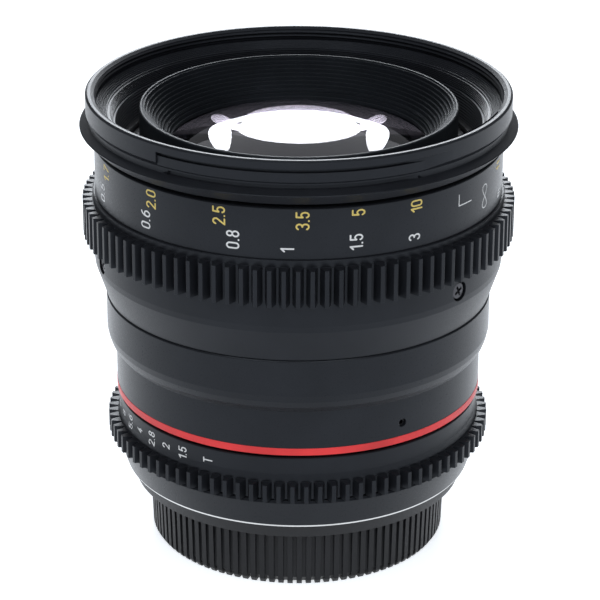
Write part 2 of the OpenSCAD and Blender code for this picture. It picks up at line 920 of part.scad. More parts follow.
module rear_spacer_3() {
    color("#2c2d2f")
        ring(rear_r, rear_r - ring_wall, e9_top - sag(e9_front, rear_r - ring_wall) + seat_gap,
            e8_flat - seat_gap);
}

module rear_retainer() {
    color("#1c1d1f")
        ring(rear_r, rear_r - lock_wall, z_rear0,
            e9_vertex + sag(e9_back, rear_r - lock_wall) - seat_gap);
}

module rear_cell() {
    color("#2c2d2f")
        difference() {
            turned([
                [unit_r, z_flange1 - seat_gap], [unit_r, z_flange0], [rear_cell_r, z_flange0],
                [rear_cell_r, z_rear0 + 0.5], [rear_cell_r - 0.5, z_rear0], [rear_r + cell_gap, z_rear0],
                [rear_r + cell_gap, e4_top + seat_gap], [e4_clear_r + 0.6, e4_top + seat_gap],
                [e4_clear_r + 0.6, z_flange1 - seat_gap]
            ]);
            lever_window(z_flange0 - 1, z_flange1 + 1);
            for (i = [0 : 2])
                unit_screw(i, unit_thread_r + 0.1, z_flange0 - 1, z_flange1 + 1);
        }
}

// Arc through which the iris lever swings
module lever_window(z0, z1) {
    sector(lever_r0 - 0.3, lever_r1 + 0.4, iris_a - turn_to_open - 5.5,
        iris_a + turn_to_closed + 5.5, z0, z1);
}

module unit_screw(i, r, z0, z1) {
    at(unit_screw_a[i])
        translate([unit_screw_r, 0, z0])
            cylinder(r = r, h = z1 - z0);
}

module rear_cell_screws() {
    color("#8d8f92")
        for (i = [0 : 2])
            union() {
                unit_screw(i, unit_thread_r, z_flange0 - 0.4, z_cover1 + 2.6);
                unit_screw(i, unit_thread_r + 0.55, z_flange0 - 0.8, z_flange0 - seat_gap);
            }
}

module block_retainer() {
    color("#2c2d2f")
        difference() {
            ring(block_bore_r - seat_gap, unit_r - 0.3, z_block0 + 0.4, z_flange0 - seat_gap);
            for (a = [0, 180])
                at(a)
                    translate([unit_r - 1, -0.6, z_block0])
                        cube([2, 1.2, 1.2]);
        }
}

// Iris

module iris_housing() {
    color("#222325")
        difference() {
            turned([
                [iris_open_r, z_plate0], [iris_open_r, z_plate1], [unit_r, z_plate1],
                [unit_r, z_cover1 + seat_gap], [iris_wall_r0, z_cover1 + seat_gap], [iris_wall_r0, z_plate0]
            ]);
            sector(iris_wall_r0 - 0.5, iris_lug_r + 0.3, iris_a - turn_to_open - 7,
                iris_a + turn_to_closed + 7, z_cover1 - 1, z_ring1 + 0.3);
            for (i = [0 : blades - 1])
                rotate([0, 0, i * 360 / blades])
                    translate([pivot_r, 0, z_plate0 - 1])
                        cylinder(r = pivot_pin_r + 0.05, h = 4);
            for (i = [0 : 2])
                unit_screw(i, unit_thread_r + 0.03, z_cover1 - 1, z_cover1 + 2.8);
        }
}

module iris_cover() {
    color("#222325")
        difference() {
            ring(unit_r, iris_open_r + 0.7, z_cover0, z_cover1);
            lever_window(z_cover0 - 1, z_cover1 + 1);
            for (i = [0 : 2])
                unit_screw(i, unit_thread_r + 0.1, z_cover0 - 1, z_cover1 + 1);
        }
}

// Drive pin position in the turning ring, t counted from the shown stop
function pin_on_ring(t) =
    let (b = drive_a0 + swing_ratio * (t + turn_to_open),
         x = pivot_r + drive_arm * cos(b),
         y = drive_arm * sin(b))
    [x * cos(t) + y * sin(t), y * cos(t) - x * sin(t)];

function slot_side(t, w) =
    let (d = pin_on_ring(t + 0.5) - pin_on_ring(t - 0.5),
         n = [-d[1], d[0]] / norm(d))
    pin_on_ring(t) + w * n;

// Cam slot that turns each blade in step with the ring
module cam_slot(w) {
    steps = 24;
    span = turn_to_open + turn_to_closed;
    polygon([
        for (k = [0 : steps]) slot_side(-turn_to_open + k * span / steps, w),
        for (k = [steps : -1 : 0]) slot_side(-turn_to_open + k * span / steps, -w)
    ]);
    for (t = [-turn_to_open, turn_to_closed])
        translate(pin_on_ring(t))
            circle(w);
}

module iris_ring() {
    color("#6d6f72")
        difference() {
            union() {
                ring(iris_ring_r, iris_open_r + 0.5, z_ring0, z_ring1);
                sector(iris_ring_r - 0.5, iris_lug_r, iris_a - 4.5, iris_a + 4.5, z_ring0, z_ring1);
            }
            translate([0, 0, z_ring0 - 1])
                linear_extrude(4)
                    for (i = [0 : blades - 1])
                        rotate(i * 360 / blades)
                            cam_slot(drive_pin_r + 0.08);
            at(iris_a)
                translate([(lever_r0 + lever_r1) / 2, 0, z_ring0 - 1])
                    cylinder(r = lever_pin_r + seat_gap, h = 4);
        }
}

module iris_lever() {
    color("#8d8f92")
        at(iris_a)
            union() {
                translate([lever_r0, -lever_w / 2, z_lever0])
                    cube([lever_t, lever_w, z_ring0 - seat_gap - z_lever0]);
                translate([(lever_r0 + lever_r1) / 2, 0, z_ring0 - 0.5])
                    cylinder(r = lever_pin_r, h = 1.6);
            }
}

// Flat blade drawn fully open, pivot on the +X axis
module blade_plan() {
    intersection() {
        difference() {
            circle(blade_out_r);
            circle(blade_in_r);
        }
        polygon([
            [0, 0],
            for (t = [-blade_root, 30, 60, 90, 115, blade_tail]) 1.5 * blade_out_r * [cos(t), sin(t)]
        ]);
    }
    translate([blade_out_r - 1, -ear_r])
        square([pivot_r - blade_out_r + 1, 2 * ear_r]);
    translate([pivot_r, 0])
        circle(ear_r);
    translate([pivot_r, 0])
        rotate(drive_a0) {
            translate([0, -arm_r])
                square([drive_arm, 2 * arm_r]);
            translate([drive_arm, 0])
                circle(arm_r);
        }
}

module iris_blade(i) {
    z = z_plate0 - (i + 1) * (blade_t + blade_gap);
    color("#4a4b4e")
        rotate([0, 0, i * 360 / blades])
            translate([pivot_r, 0, 0])
                rotate([0, 0, swing_shown])
                    translate([-pivot_r, 0, 0])
                        union() {
                            translate([0, 0, z])
                                linear_extrude(blade_t)
                                    blade_plan();
                            translate([pivot_r, 0, z])
                                cylinder(r = pivot_pin_r, h = z_plate1 - 0.1 - z);
                            translate([pivot_r, 0, z_ring0 + 0.2])
                                rotate([0, 0, drive_a0])
                                    translate([drive_arm, 0, 0])
                                        cylinder(r = drive_pin_r, h = z + blade_t - z_ring0 - 0.2);
                        }
}

module iris_blade_1() { iris_blade(0); }
module iris_blade_2() { iris_blade(1); }
module iris_blade_3() { iris_blade(2); }
module iris_blade_4() { iris_blade(3); }
module iris_blade_5() { iris_blade(4); }
module iris_blade_6() { iris_blade(5); }
module iris_blade_7() { iris_blade(6); }
module iris_blade_8() { iris_blade(7); }

// Aperture ring

module aperture_ring() {
    color("#202124")
        difference() {
            union() {
                turned([
                    [spigot_r1 + run_gap, z_stop_gear0], [aperture_root_r - 0.05, z_stop_gear0],
                    [aperture_root_r - 0.05, z_stop_gear1 + 0.4], [aperture_root_r - 0.3, z_stop_gear1 + 1.6],
                    [aperture_root_r - 0.3, z_stop1 - 0.2], [aperture_root_r - 0.5, z_stop1],
                    [spigot_r1 + run_gap, z_stop1]
                ]);
                difference() {
                    toothed(aperture_teeth, aperture_tip_r, aperture_root_r, z_stop_gear0, z_stop_gear1,
                        stop_gear_a);
                    translate([0, 0, zf])
                        cylinder(r = spigot_r1 + 1, h = z_stop1);
                }
            }
            sector(spigot_r1 - 1, fork_r1 + 0.05, iris_a - tab_half_a - 0.5, iris_a + tab_half_a + 0.5,
                z_fork0, z_stop1 + 1);
            for (s = [-1, 1])
                at(iris_a + s * fork_screw_a)
                    translate([fork_screw_r, 0, z_fork0 - 2.4])
                        cylinder(r = fork_thread_r + seat_gap, h = 4);
        }
}

module aperture_fork() {
    color("#8d8f92")
        difference() {
            union() {
                sector(fork_r0, spigot_r1 + 0.5, iris_a - fork_half_a, iris_a + fork_half_a,
                    z_fork0 + seat_gap, z_fork1);
                sector(spigot_r1 + 0.4, fork_r1, iris_a - tab_half_a, iris_a + tab_half_a,
                    z_fork0 + seat_gap, z_fork1);
            }
            at(iris_a)
                translate([fork_r0 - 1, -lever_w / 2 - run_gap, z_fork0 - 1])
                    cube([lever_r1 + 0.4 - fork_r0 + 1, lever_w + 2 * run_gap, 4]);
            for (s = [-1, 1])
                at(iris_a + s * fork_screw_a)
                    translate([fork_screw_r, 0, z_fork0 - 1])
                        cylinder(r = fork_thread_r + 0.1, h = 4);
        }
}

module fork_screws() {
    color("#8d8f92")
        for (s = [-1, 1])
            at(iris_a + s * fork_screw_a)
                translate([fork_screw_r, 0, 0])
                    union() {
                        translate([0, 0, z_fork0 - 2.2])
                            cylinder(r = fork_thread_r, h = fork_t + 2.4);
                        translate([0, 0, z_fork1 + seat_gap])
                            cylinder(r = fork_thread_r + 0.35, h = 0.6);
                    }
}

// Rear cap

module rear_cap() {
    color("#1f2022")
        union() {
            difference() {
                union() {
                    cap_grip();
                    turned([
                        [cap_bore_r - 1, cap_band_z - 1], [cap_wall_r, cap_band_z - 1],
                        [cap_band_r - cap_band_taper, cap_band_z], [cap_band_r, cap_top - 0.3],
                        [cap_band_r - 0.2, cap_top], [cap_bore_r - 1, cap_top]
                    ]);
                }
                translate([0, 0, cap_floor])
                    cylinder(r = cap_bore_r, h = zf);
                translate([0, 0, -1])
                    cylinder(r = cap_wall_r - cap_foot_w, h = 1.3);
            }
            for (i = [0 : 2])
                sector(throat_r1 + 0.35, cap_bore_r + 0.3, i * 120 + 60 - cap_lug_a / 2,
                    i * 120 + 60 + cap_lug_a / 2, cap_top - 1.5, cap_top - 0.2);
        }
}

// Wall of the cap with a chamfered foot, and ribs that run on down to the ground
module cap_grip() {
    turned([
        [0, 0], [cap_wall_r - cap_foot_cut, 0], [cap_wall_r, cap_foot_cut],
        [cap_wall_r, cap_band_z + 0.1], [0, cap_band_z + 0.1]
    ]);
    intersection() {
        linear_extrude(cap_band_z + 0.1)
            for (i = [0 : cap_ribs - 1])
                rotate(i * 360 / cap_ribs)
                    translate([cap_wall_r - 2, -rib_w / 2])
                        square([3, rib_w]);
        turned([
            [0, 0], [cap_wall_r - 0.3, 0], [cap_wall_r + 0.3, 0.9],
            [cap_wall_r + rib_h, cap_band_z + 1], [0, cap_band_z + 1]
        ]);
    }
}

front_barrel();
front_barrel_screws();
fixed_tube();
main_barrel();
red_ring();
set_screws();
mount_base();
mount_plate();
mount_screws();
rear_baffle();
focus_scale_ring();
focus_gear_ring();
cam_ring();
focus_screws();
block_barrel();
cam_followers();
follower_screws();
front_ring();
front_cell();
lens_element_1();
doublet_retainer();
lens_element_2();
lens_element_3();
iris_housing();
iris_cover();
rear_cell();
rear_cell_screws();
block_retainer();
lens_element_4();
lens_element_5();
rear_spacer_1();
lens_element_6();
lens_element_7();
rear_spacer_2();
lens_element_8();
rear_spacer_3();
lens_element_9();
rear_retainer();
iris_ring();
iris_lever();
iris_blade_1();
iris_blade_2();
iris_blade_3();
iris_blade_4();
iris_blade_5();
iris_blade_6();
iris_blade_7();
iris_blade_8();
aperture_ring();
aperture_fork();
fork_screws();
rear_cap();
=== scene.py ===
import math

import bmesh
import bpy
from mathutils import Matrix, Vector
from mathutils.bvhtree import BVHTree


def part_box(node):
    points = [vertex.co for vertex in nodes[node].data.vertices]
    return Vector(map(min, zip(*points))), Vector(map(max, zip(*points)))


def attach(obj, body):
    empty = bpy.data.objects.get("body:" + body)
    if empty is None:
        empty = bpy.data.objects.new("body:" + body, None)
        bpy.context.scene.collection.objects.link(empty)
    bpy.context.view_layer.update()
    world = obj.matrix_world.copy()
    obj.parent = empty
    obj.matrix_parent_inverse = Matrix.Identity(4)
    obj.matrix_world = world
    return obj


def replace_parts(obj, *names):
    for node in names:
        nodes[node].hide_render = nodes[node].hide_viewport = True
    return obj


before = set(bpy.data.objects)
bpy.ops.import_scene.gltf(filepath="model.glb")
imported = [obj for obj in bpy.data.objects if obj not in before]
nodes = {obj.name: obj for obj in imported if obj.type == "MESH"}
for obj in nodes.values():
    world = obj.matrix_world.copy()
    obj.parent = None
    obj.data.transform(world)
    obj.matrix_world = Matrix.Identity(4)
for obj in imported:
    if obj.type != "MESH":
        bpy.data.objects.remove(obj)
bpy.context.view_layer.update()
MM = 0.001


# Materials

NOISE_LOW = 0.3
NOISE_HIGH = 0.7
BEVEL_SAMPLES = 4


class Graph:
    """Small helper that writes one node material."""

    def __init__(self, name):
        self.mat = bpy.data.materials.new(name)
        self.mat.use_nodes = True
        self.tree = self.mat.node_tree
        self.tree.nodes.clear()
        self.out = self.new("ShaderNodeOutputMaterial")
        self.bsdf = self.new("ShaderNodeBsdfPrincipled")
        self.link(self.bsdf, "BSDF", self.out, "Surface")
        self.coord = self.new("ShaderNodeTexCoord")

    def new(self, kind):
        return self.tree.nodes.new(kind)

    def link(self, a, a_out, b, b_in):
        self.tree.links.new(a.outputs[a_out], b.inputs[b_in])

    def set(self, **values):
        for key, value in values.items():
            self.bsdf.inputs[key.replace("_", " ")].default_value = value

    def noise(self, scale, detail=3.0, rough=0.55):
        tex = self.new("ShaderNodeTexNoise")
        tex.inputs["Scale"].default_value = scale
        tex.inputs["Detail"].default_value = detail
        tex.inputs["Roughness"].default_value = rough
        self.link(self.coord, "Object", tex, "Vector")
        return tex

    def colour(self, source, low, high):
        ramp = self.new("ShaderNodeValToRGB")
        ramp.color_ramp.elements[0].position = NOISE_LOW
        ramp.color_ramp.elements[1].position = NOISE_HIGH
        ramp.color_ramp.elements[0].color = (*low, 1)
        ramp.color_ramp.elements[1].color = (*high, 1)
        self.link(source, "Fac", ramp, "Fac")
        self.link(ramp, "Color", self.bsdf, "Base Color")

    def rough(self, source, low, high):
        scaled = self.new("ShaderNodeMapRange")
        scaled.inputs["From Min"].default_value = NOISE_LOW
        scaled.inputs["From Max"].default_value = NOISE_HIGH
        scaled.inputs["To Min"].default_value = low
        scaled.inputs["To Max"].default_value = high
        self.link(source, "Fac", scaled, "Value")
        self.link(scaled, "Result", self.bsdf, "Roughness")

    def bump(self, source, strength, depth, edge=0.0):
        bump = self.new("ShaderNodeBump")
        bump.inputs["Strength"].default_value = strength
        bump.inputs["Distance"].default_value = depth
        self.link(source, "Fac", bump, "Height")
        if edge:
            bevel = self.new("ShaderNodeBevel")
            bevel.samples = BEVEL_SAMPLES
            bevel.inputs["Radius"].default_value = edge
            self.link(bevel, "Normal", bump, "Normal")
        self.link(bump, "Normal", self.bsdf, "Normal")


def shades(tone, spread):
    """A darker and a lighter shade of one tone."""
    return [c * (1 - spread) for c in tone], [c * (1 + spread) for c in tone]


COOL = (0.84, 0.91, 1.0, 1.0)
COOL_LIGHT = (0.92, 0.955, 1.0)
SHEEN_ROUGHNESS = 0.3
MARK_DEPTH = 6e-6
POLISH = 0.003


def satin_black(name, tone, low, high, grain=3400, drift=90, depth=2.5e-5, strength=0.5, level=0.16,
                edge=1.2e-4, sheen=0.0):
    """Bead-blasted and anodised aluminium: fine grain, slow drift in tone and gloss."""
    g = Graph(name)
    fine = g.noise(grain, detail=3.0, rough=0.65)
    g.colour(g.noise(drift, detail=4.0), *shades(tone, spread=0.2))
    g.rough(fine, low, high)
    g.bump(fine, strength, depth, edge)
    g.set(Specular_IOR_Level=level, Specular_Tint=COOL)
    g.set(Sheen_Weight=sheen, Sheen_Roughness=SHEEN_ROUGHNESS, Sheen_Tint=COOL)
    return g.mat


def metal(name, tone, low, high, grain=2600, drift=140, strength=0.15, edge=1e-4):
    """Machined metal with a faint grain."""
    g = Graph(name)
    marks = g.noise(grain, detail=2.0, rough=0.5)
    g.colour(g.noise(drift), *shades(tone, spread=0.12))
    g.rough(marks, low, high)
    g.bump(marks, strength, MARK_DEPTH, edge)
    g.set(Metallic=1.0)
    return g.mat


def plastic(name, tone, low, high, grain=2600, drift=60, depth=4e-5, strength=0.3, level=0.22,
            edge=1.5e-4):
    """Moulded plastic with a spark-eroded grain."""
    g = Graph(name)
    fine = g.noise(grain, detail=2.0, rough=0.5)
    g.colour(g.noise(drift), *shades(tone, spread=0.18))
    g.rough(fine, low, high)
    g.bump(fine, strength, depth, edge)
    g.set(Specular_IOR_Level=level)
    return g.mat


def paint(name, tone, low=0.45, high=0.6, grain=1800):
    """Paint of the figures and lines."""
    g = Graph(name)
    mottle = g.noise(grain)
    g.colour(mottle, *shades(tone, spread=0.06))
    g.rough(mottle, low, high)
    g.bump(mottle, strength=0.2, depth=1e-5)
    return g.mat


def coated_glass(name, tint, ior, body, grain=900, drift=30):
    """Polished lens glass: tint colours the reflections, body the light that goes through."""
    g = Graph(name)
    g.colour(g.noise(drift, detail=2.0), *shades(body, spread=0.02))
    g.rough(g.noise(grain, detail=2.0), 0.0, POLISH)
    g.set(Transmission_Weight=1.0, IOR=ior, Specular_Tint=(*tint, 1.0))
    return g.mat


BLACK = (0.0135, 0.0145, 0.0175)
barrel_black = satin_black("barrel_black", BLACK, 0.25, 0.37, sheen=0.08)
ring_black = satin_black("ring_black", BLACK, 0.25, 0.38, sheen=0.06)
gear_black = satin_black("gear_black", (0.013, 0.014, 0.017), 0.30, 0.42, edge=1.5e-4)
inner_black = satin_black("inner_black", (0.013, 0.015, 0.018), 0.45, 0.6)
front_black = satin_black("front_black", (0.013, 0.014, 0.017), 0.30, 0.42)
screw_black = metal("screw_black", (0.05, 0.05, 0.055), 0.25, 0.4)
screw_steel = metal("screw_steel", (0.56, 0.56, 0.57), 0.2, 0.35)
chrome = metal("mount_chrome", (0.5, 0.5, 0.5), 0.14, 0.26)
grey_metal = metal("inner_grey", (0.13, 0.13, 0.135), 0.35, 0.5)
steel = metal("plain_steel", (0.48, 0.48, 0.49), 0.22, 0.38)
brass = metal("brass", (0.68, 0.47, 0.19), 0.2, 0.34)
blade_steel = metal("blade_steel", (0.06, 0.06, 0.065), 0.35, 0.5)
red_anodised = satin_black("red_anodised", (0.9, 0.055, 0.055), 0.35, 0.5, level=0.3, sheen=0.02)
cap_black = plastic("cap_black", (0.014, 0.0145, 0.0165), 0.42, 0.56)
white_paint = paint("white_paint", (0.86, 0.86, 0.85))
yellow_paint = paint("yellow_paint", (0.84, 0.64, 0.17))
front_glass = coated_glass("front_glass", (0.97, 0.93, 1.0), 1.74, (0.58, 0.53, 0.6))
inner_glass = coated_glass("inner_glass", (0.96, 0.93, 1.0), 1.62, (0.96, 0.97, 0.97))
rear_glass = coated_glass("rear_glass", (0.95, 0.9, 1.0), 1.66, (0.97, 0.97, 0.96))


# CAD nodes keep their shape and get a finish

FINISH = {
    "front_barrel": front_black, "front_barrel_screws": screw_steel, "fixed_tube": grey_metal,
    "main_barrel": barrel_black, "red_ring": red_anodised, "set_screws": screw_black,
    "mount_base": barrel_black, "mount_plate": chrome, "mount_screws": screw_steel,
    "rear_baffle": inner_black, "focus_scale_ring": ring_black, "focus_gear_ring": gear_black,
    "cam_ring": brass, "focus_screws": screw_black, "block_barrel": grey_metal,
    "cam_followers": brass, "follower_screws": screw_steel, "front_ring": inner_black,
    "front_cell": inner_black, "doublet_retainer": inner_black, "iris_housing": inner_black,
    "iris_cover": inner_black, "rear_cell": inner_black, "rear_cell_screws": screw_steel,
    "block_retainer": inner_black, "rear_spacer_1": inner_black, "rear_spacer_2": inner_black,
    "rear_spacer_3": inner_black, "rear_retainer": inner_black, "iris_ring": steel,
    "iris_lever": steel, "aperture_ring": gear_black, "aperture_fork": steel,
    "fork_screws": screw_steel, "rear_cap": cap_black, "lens_element_1": front_glass,
    "lens_element_2": inner_glass, "lens_element_3": inner_glass, "lens_element_4": rear_glass,
    "lens_element_5": rear_glass, "lens_element_6": inner_glass, "lens_element_7": rear_glass,
    "lens_element_8": rear_glass, "lens_element_9": rear_glass,
}
for number in range(1, 9):
    FINISH["iris_blade_%d" % number] = blade_steel
for name, finish in FINISH.items():
    if len(nodes[name].material_slots) == 0:
        nodes[name].data.materials.append(finish)
    for slot in nodes[name].material_slots:
        slot.material = finish


# Helpers for new pieces, in millimetres and degrees

def on_barrel(radius, angle, height):
    """Point at an angle counted from the front (-Y) towards +X."""
    a = math.radians(angle)
    return Vector((radius * math.sin(a), -radius * math.cos(a), height)) * MM


def span(node):
    """Lowest and highest corner of a CAD node."""
    low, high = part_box(node)
    return low / MM, high / MM


def reach(node):
    """Smallest and largest distance of a CAD node's points from the lens axis."""
    far = [Vector((v.co.x, v.co.y)).length / MM for v in nodes[node].data.vertices]
    return min(far), max(far)


def wall(node):
    """Function giving the radius of a CAD node's outer wall at an angle and a height."""
    mesh = nodes[node].data
    tree = BVHTree.FromPolygons([v.co for v in mesh.vertices], [p.vertices for p in mesh.polygons])
    outside = 2 * reach(node)[1]

    def radius(angle, height):
        hit = tree.ray_cast(on_barrel(outside, angle, height), on_barrel(-1, angle, 0))[0]
        return Vector((hit.x, hit.y)).length / MM
    return radius


def piece(name, bm, material, body, sharp=40):
    """Turns a bmesh into an object that rides on a body; edges over the angle sharp stay sharp."""
    mesh = bpy.data.meshes.new(name)
    bmesh.ops.recalc_face_normals(bm, faces=bm.faces[:])
    bm.to_mesh(mesh)
    bm.free()
    mesh.materials.append(material)
    mesh.shade_smooth()
    mesh.set_sharp_from_angle(angle=math.radians(sharp))
    obj = bpy.data.objects.new(name, mesh)
    bpy.context.scene.collection.objects.link(obj)
    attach(obj, body)
    return obj


def stitch(bm, rows, closed=False):
    """Quads between neighbouring rows of vertices; a row of one vertex becomes a fan."""
    for low, high in zip(rows, rows[1:]):
        count = max(len(low), len(high))
        for k in range(count if closed else count - 1):
            j = (k + 1) % count
            corners = [low[k % len(low)], low[j % len(low)], high[j % len(high)], high[k % len(high)]]
            corners = [c for i, c in enumerate(corners) if c not in corners[:i]]
            if len(corners) > 2:
                bm.faces.new(corners)


# Single-stroke figures, drawn in a box one unit tall

DIGIT_W = 0.505
HALF = DIGIT_W / 2
UPPER = 0.235
LOWER = 0.265
BOWL = 0.31


def arc(cx, cy, rx, ry, start, end, steps=16):
    """Points along an ellipse from one angle to another."""
    turns = [math.radians(start + (end - start) * k / steps) for k in range(steps + 1)]
    return [(cx + rx * math.cos(t), cy + ry * math.sin(t)) for t in turns]


STEM = 0.26
GLYPHS = {
    "0": [DIGIT_W, arc(HALF, 1 - HALF, HALF, HALF, 0, 180) + arc(HALF, HALF, HALF, HALF, 180, 360)
          + [(DIGIT_W, 1 - HALF)]],
    "1": [STEM, [(0, 0.76), (STEM, 1)], [(STEM, 1), (STEM, 0)]],
    "2": [DIGIT_W, arc(HALF, 1 - HALF, HALF, HALF, 172, -35) + [(0, 0)], [(0, 0), (DIGIT_W, 0)]],
    "3": [DIGIT_W, arc(HALF, 1 - UPPER, HALF, UPPER, 155, -90), arc(HALF, LOWER, HALF, LOWER, 90, -155)],
    "4": [DIGIT_W, [(0.72 * DIGIT_W, 1), (0, 0.28)], [(0, 0.28), (DIGIT_W, 0.28)],
          [(0.72 * DIGIT_W, 0.62), (0.72 * DIGIT_W, 0)]],
    "5": [DIGIT_W, [(0.94 * DIGIT_W, 1), (0.12 * DIGIT_W, 1)],
          [(0.12 * DIGIT_W, 1), (0.05 * DIGIT_W, 0.5)],
          arc(HALF, BOWL, HALF, BOWL, 142, -155)],
    "6": [DIGIT_W, arc(DIGIT_W, BOWL, DIGIT_W, 1 - BOWL, 100, 180),
          arc(HALF, BOWL, HALF, BOWL, 180, 540, steps=32)],
    "7": [DIGIT_W, [(0, 1), (DIGIT_W, 1)], [(DIGIT_W, 1), (0.3 * DIGIT_W, 0)]],
    "8": [DIGIT_W, arc(HALF, 1 - UPPER, 0.9 * HALF, UPPER, -90, 270, steps=32),
          arc(HALF, LOWER, HALF, LOWER, 90, 450, steps=32)],
    "T": [DIGIT_W, [(0, 1), (DIGIT_W, 1)], [(HALF, 1), (HALF, 0)]],
    "f": [0.28, arc(0.28, 0.84, 0.16, 0.16, 90, 180) + [(0.12, 0)], [(0, 0.62), (0.26, 0.62)]],
    "t": [0.24, [(0.1, 0.9)] + arc(0.22, 0.12, 0.12, 0.12, 180, 270), [(0, 0.62), (0.24, 0.62)]],
    "m": [0.6, [(0, 0.64), (0, 0)], arc(0.15, 0.49, 0.15, 0.15, 180, 0) + [(0.3, 0)],
          arc(0.45, 0.49, 0.15, 0.15, 180, 0) + [(0.6, 0)]],
    ".": [0.08, [(0.03, 0), (0.05, 0)]],
}
PAINT = 0.012
LAYER = 0.003
STEP = 0.3
CAP_STEPS = 8
CLOSED_GAP = 1e-6
LETTER_WIDTH = 0.88


def even(path):
    """The same path with no stretch longer than STEP."""
    points = [Vector(path[0])]
    for end in map(Vector, path[1:]):
        start = points[-1]
        parts = max(1, math.ceil((end - start).length / STEP))
        points += [start.lerp(end, k / parts) for k in range(1, parts + 1)]
    return points


def stroke(bm, path, width, place, layer):
    """One painted stroke with round ends; place(x, y, lift) bends each point on to the barrel."""
    points = even(path)
    closed = (points[0] - points[-1]).length < CLOSED_GAP and len(points) > 3
    last = len(points) - 1
    sides = []
    for k, point in enumerate(points):
        before = points[last - 1] if closed and k == 0 else points[max(k - 1, 0)]
        after = points[1] if closed and k == last else points[min(k + 1, last)]
        along = (after - before).normalized()
        sides.append((point, along, Vector((-along.y, along.x))))
    rows = [(point + side * width / 2, point, point - side * width / 2) for point, along, side in sides]
    if not closed:
        for point, along, side in (sides[0], sides[-1]):
            outward = -along if point == points[0] else along
            caps = []
            for k in range(CAP_STEPS):
                t = math.pi / 2 * (1 - k / CAP_STEPS)
                tip = point + outward * math.sin(t) * width / 2
                caps.append((tip + side * math.cos(t) * width / 2, tip, tip - side * math.cos(t) * width / 2))
            rows = caps + rows if point == points[0] else rows + caps[::-1]
    lift = PAINT + LAYER * layer
    stitch(bm, [[bm.verts.new(place(p.x, p.y, lift)) for p in row] for row in rows])


def figure_length(text, tall, width, gap):
    """Length of a figure along its reading direction."""
    size = tall - width
    return sum(GLYPHS[c][0] * size * LETTER_WIDTH + width for c in text) + gap * (len(text) - 1)


def upward(surface, angle, height):
    """Placing of figures that read up: x runs towards the front of the lens, y against the angle."""
    turn = math.degrees(1 / surface(angle, height))

    def place(x, y, lift):
        a = angle - y * turn
        z = height + x
        return on_barrel(surface(a, z) + lift, a, z)
    return place


def figure(bm, text, surface, angle, height, tall, width, gap, anchor):
    """Writes one figure; anchor is the part of its length that lies below the given height."""
    size = tall - width
    pen = -anchor * figure_length(text, tall, width, gap) + width / 2
    place = upward(surface, angle, height)
    for letter in text:
        for layer, path in enumerate(GLYPHS[letter][1:]):
            points = [(pen + x * size * LETTER_WIDTH, (y - 0.5) * size) for x, y in path]
            stroke(bm, points, width, place, layer)
        pen += GLYPHS[letter][0] * size * LETTER_WIDTH + width + gap


# Distance scale and stops

scale_low, scale_high = span("focus_scale_ring")
scale_wall = wall("focus_scale_ring")
FEET_END = scale_low.z + 9.1
METRES_START = scale_low.z + 1.4
FEET = {
    "1.5": -88.0, "1.7": -66.5, "2.0": -43.5, "2.5": -21.5, "3.5": 1.1, "5": 16.0, "10": 33.1, "ft": 72.9,
}
METRES = {
    "0.45": -90.6, "0.5": -70.0, "0.6": -45.7, "0.8": -17.6, "1": -2.9, "1.5": 15.5, "3": 32.6, "m": 74.3,
}
DISTANCE = {"tall": 2.5, "width": 0.32, "gap": 0.22}

bm = bmesh.new()
for text, angle in FEET.items():
    figure(bm, text, scale_wall, angle, FEET_END, anchor=1, **DISTANCE)
piece("distance_feet", bm, yellow_paint, "focus")

bm = bmesh.new()
for text, angle in METRES.items():
    figure(bm, text, scale_wall, angle, METRES_START, anchor=0, **DISTANCE)
FINE = 0.22
CORNER_A = 48.8
CORNER_Z = scale_low.z + 5.3
CORNER_UP = 2.1
CORNER_ROUND = 3.8
corner_place = upward(scale_wall, CORNER_A, CORNER_Z)
stroke(bm, [(0, 0), (CORNER_UP, 0)], FINE, corner_place, 0)
stroke(bm, [(0, 0), (0, -CORNER_ROUND)], FINE, corner_place, 1)
ENDLESS_A = 62.2
ENDLESS_Z = scale_low.z + 4.5
ENDLESS_L = 4.7 - FINE
ENDLESS_H = 2.0 - FINE
LOOP_STEPS = 32
endless_place = upward(scale_wall, ENDLESS_A, ENDLESS_Z)
turns = [math.pi * k / LOOP_STEPS for k in range(2 * LOOP_STEPS + 1)]
endless = [(ENDLESS_L / 2 * math.sin(t), ENDLESS_H / 2 * math.sin(2 * t)) for t in turns]
stroke(bm, endless[:LOOP_STEPS + 1], FINE, endless_place, 0)
stroke(bm, endless[LOOP_STEPS:], FINE, endless_place, 1)
piece("distance_metres", bm, white_paint, "focus")

stop_low = span("aperture_ring")[0]
stop_wall = wall("aperture_ring")
STOPS = ("1.5", "2", "2.8", "4", "5.6", "8", "11", "16", "22")
STOP_LETTER = -28.6
STOP_FIRST = -38.1
STOP_STEP = 7.1
STOP_Z = stop_low.z + 5.8
STOP_SIZE = {"tall": 2.0, "width": 0.26, "gap": 0.17}

bm = bmesh.new()
figure(bm, "T", stop_wall, STOP_LETTER, STOP_Z, anchor=0.5, **STOP_SIZE)
for k, text in enumerate(STOPS):
    figure(bm, text, stop_wall, STOP_FIRST - k * STOP_STEP, STOP_Z, anchor=0.5, **STOP_SIZE)
piece("aperture_stops", bm, white_paint, "aperture")

